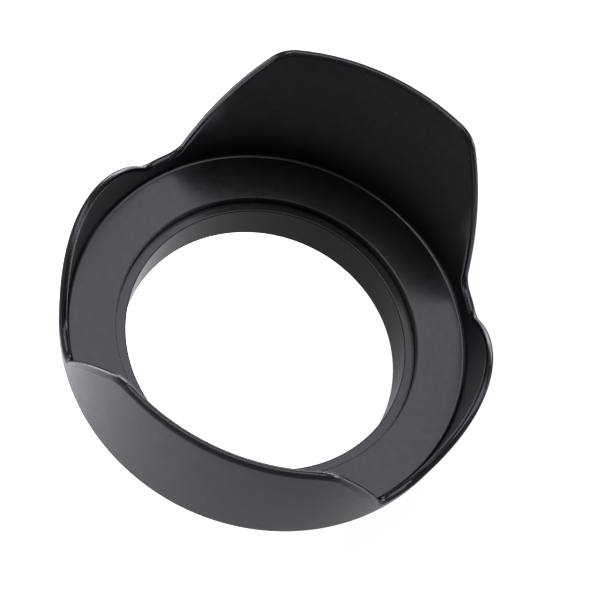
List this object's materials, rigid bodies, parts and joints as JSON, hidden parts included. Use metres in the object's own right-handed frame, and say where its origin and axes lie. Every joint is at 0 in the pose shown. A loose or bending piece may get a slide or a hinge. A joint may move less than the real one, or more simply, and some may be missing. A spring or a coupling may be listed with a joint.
{
  "type": "screw-in petal lens hood",
  "caption": "Petal-shaped black lens hood whose shell turns on a screw-in mount ring and is clamped by a knurled lock ring.",
  "frame": {"origin": "centre of the mount ring's rear end face, the lowest face of the part", "axes": "+Z along the optical axis towards the subject; long petals on +Y and -Y; short petals on +X and -X; millimetre source, metres in the record"},
  "size_m": [0.0836, 0.0858, 0.0454],
  "materials": {
    "shell_plastic": "fine satin black ABS, matt inside",
    "ring_metal": "black anodised, satin",
    "washer_plastic": "black nylon sheet"
  },
  "bodies": {
    "mount": {"mount_ring": "ring_metal", "friction_washer": "washer_plastic"},
    "shell": {"petal_shell": "shell_plastic"},
    "washer": {"slip_washer": "washer_plastic"},
    "lock": {"lock_ring": "ring_metal"}
  },
  "joints": [
    {"name": "shell_turn", "type": "hinge", "parent": "mount", "child": "shell", "pos_m": [0, 0, 0.007], "axis": [0, 0, 1], "continuous": true},
    {"name": "washer_slide", "type": "slide", "parent": "mount", "child": "washer", "axis": [0, 0, 1], "range_m": [-0.00075, 0]},
    {"name": "lock_turn", "type": "hinge", "parent": "washer", "child": "lock", "pos_m": [0, 0, 0.0045], "axis": [0, 0, 1], "range_deg": [-360, 0]}
  ],
  "couplings": [
    {"joint": "washer_slide", "follows": "lock_turn", "m_per_rad": 0.00011937}
  ]
}
